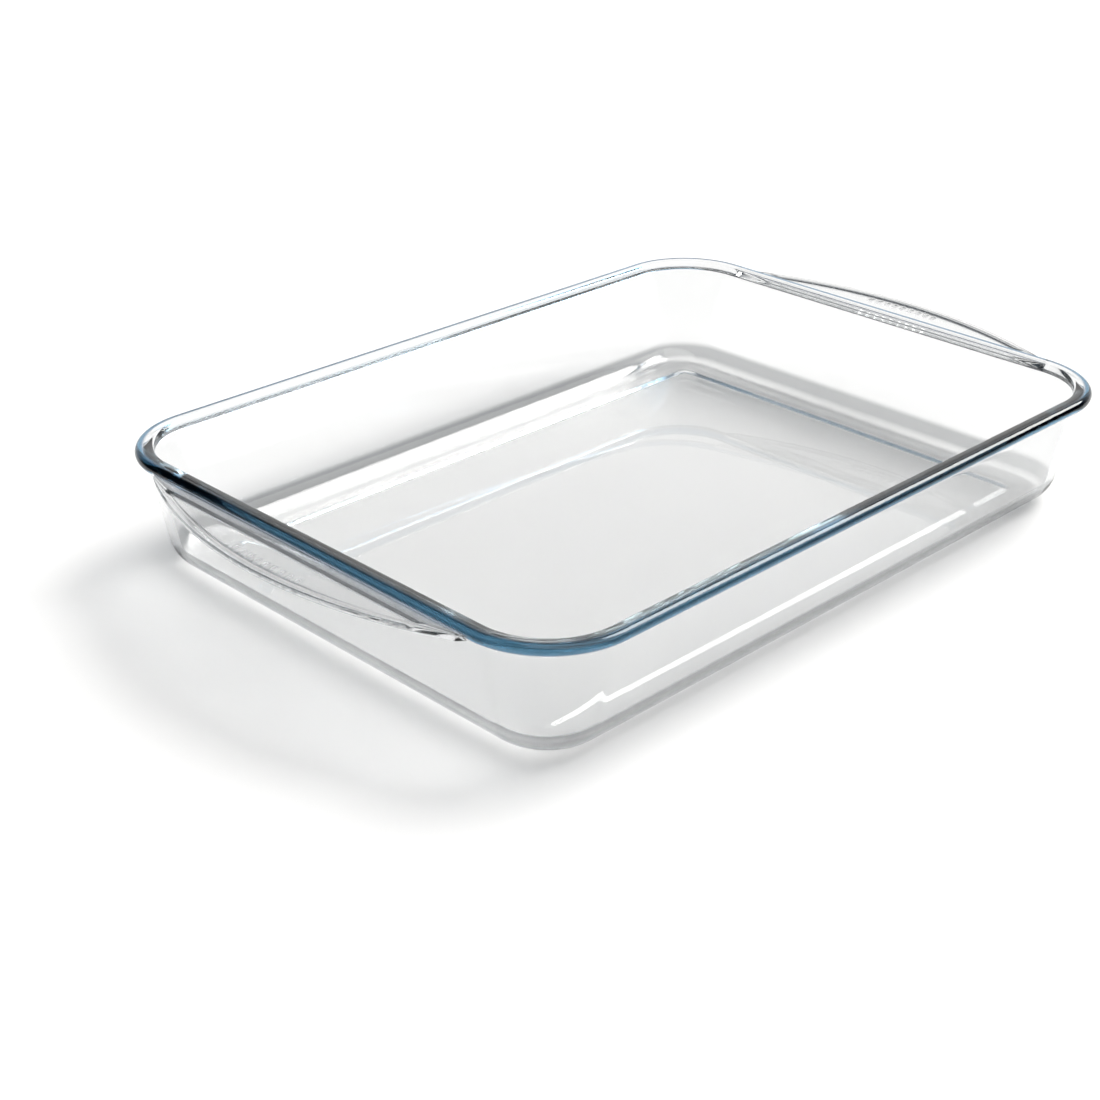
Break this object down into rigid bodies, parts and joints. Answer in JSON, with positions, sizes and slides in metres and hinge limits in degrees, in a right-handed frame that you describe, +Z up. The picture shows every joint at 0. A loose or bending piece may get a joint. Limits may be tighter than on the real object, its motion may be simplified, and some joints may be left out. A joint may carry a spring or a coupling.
{
  "type": "glass oven dish",
  "caption": "Large rectangular clear glass oven dish with leaning walls, a thick rounded rim and a flat crescent handle at each short end.",
  "frame": {"origin": "middle of the underside, on the surface the dish stands on", "axes": "+X along the dish towards handle_right, +Y across it, +Z up, out of the open top"},
  "size_m": [0.406, 0.262, 0.054],
  "materials": {
    "clear_glass": "clear, fire-polished, slightly wavy as pressed, with a faint blue cast in the thick edges"
  },
  "bodies": {
    "root": {"base": "clear_glass", "side_wall": "clear_glass", "rim": "clear_glass", "handle_left": "clear_glass", "handle_right": "clear_glass"}
  },
  "joints": []
}
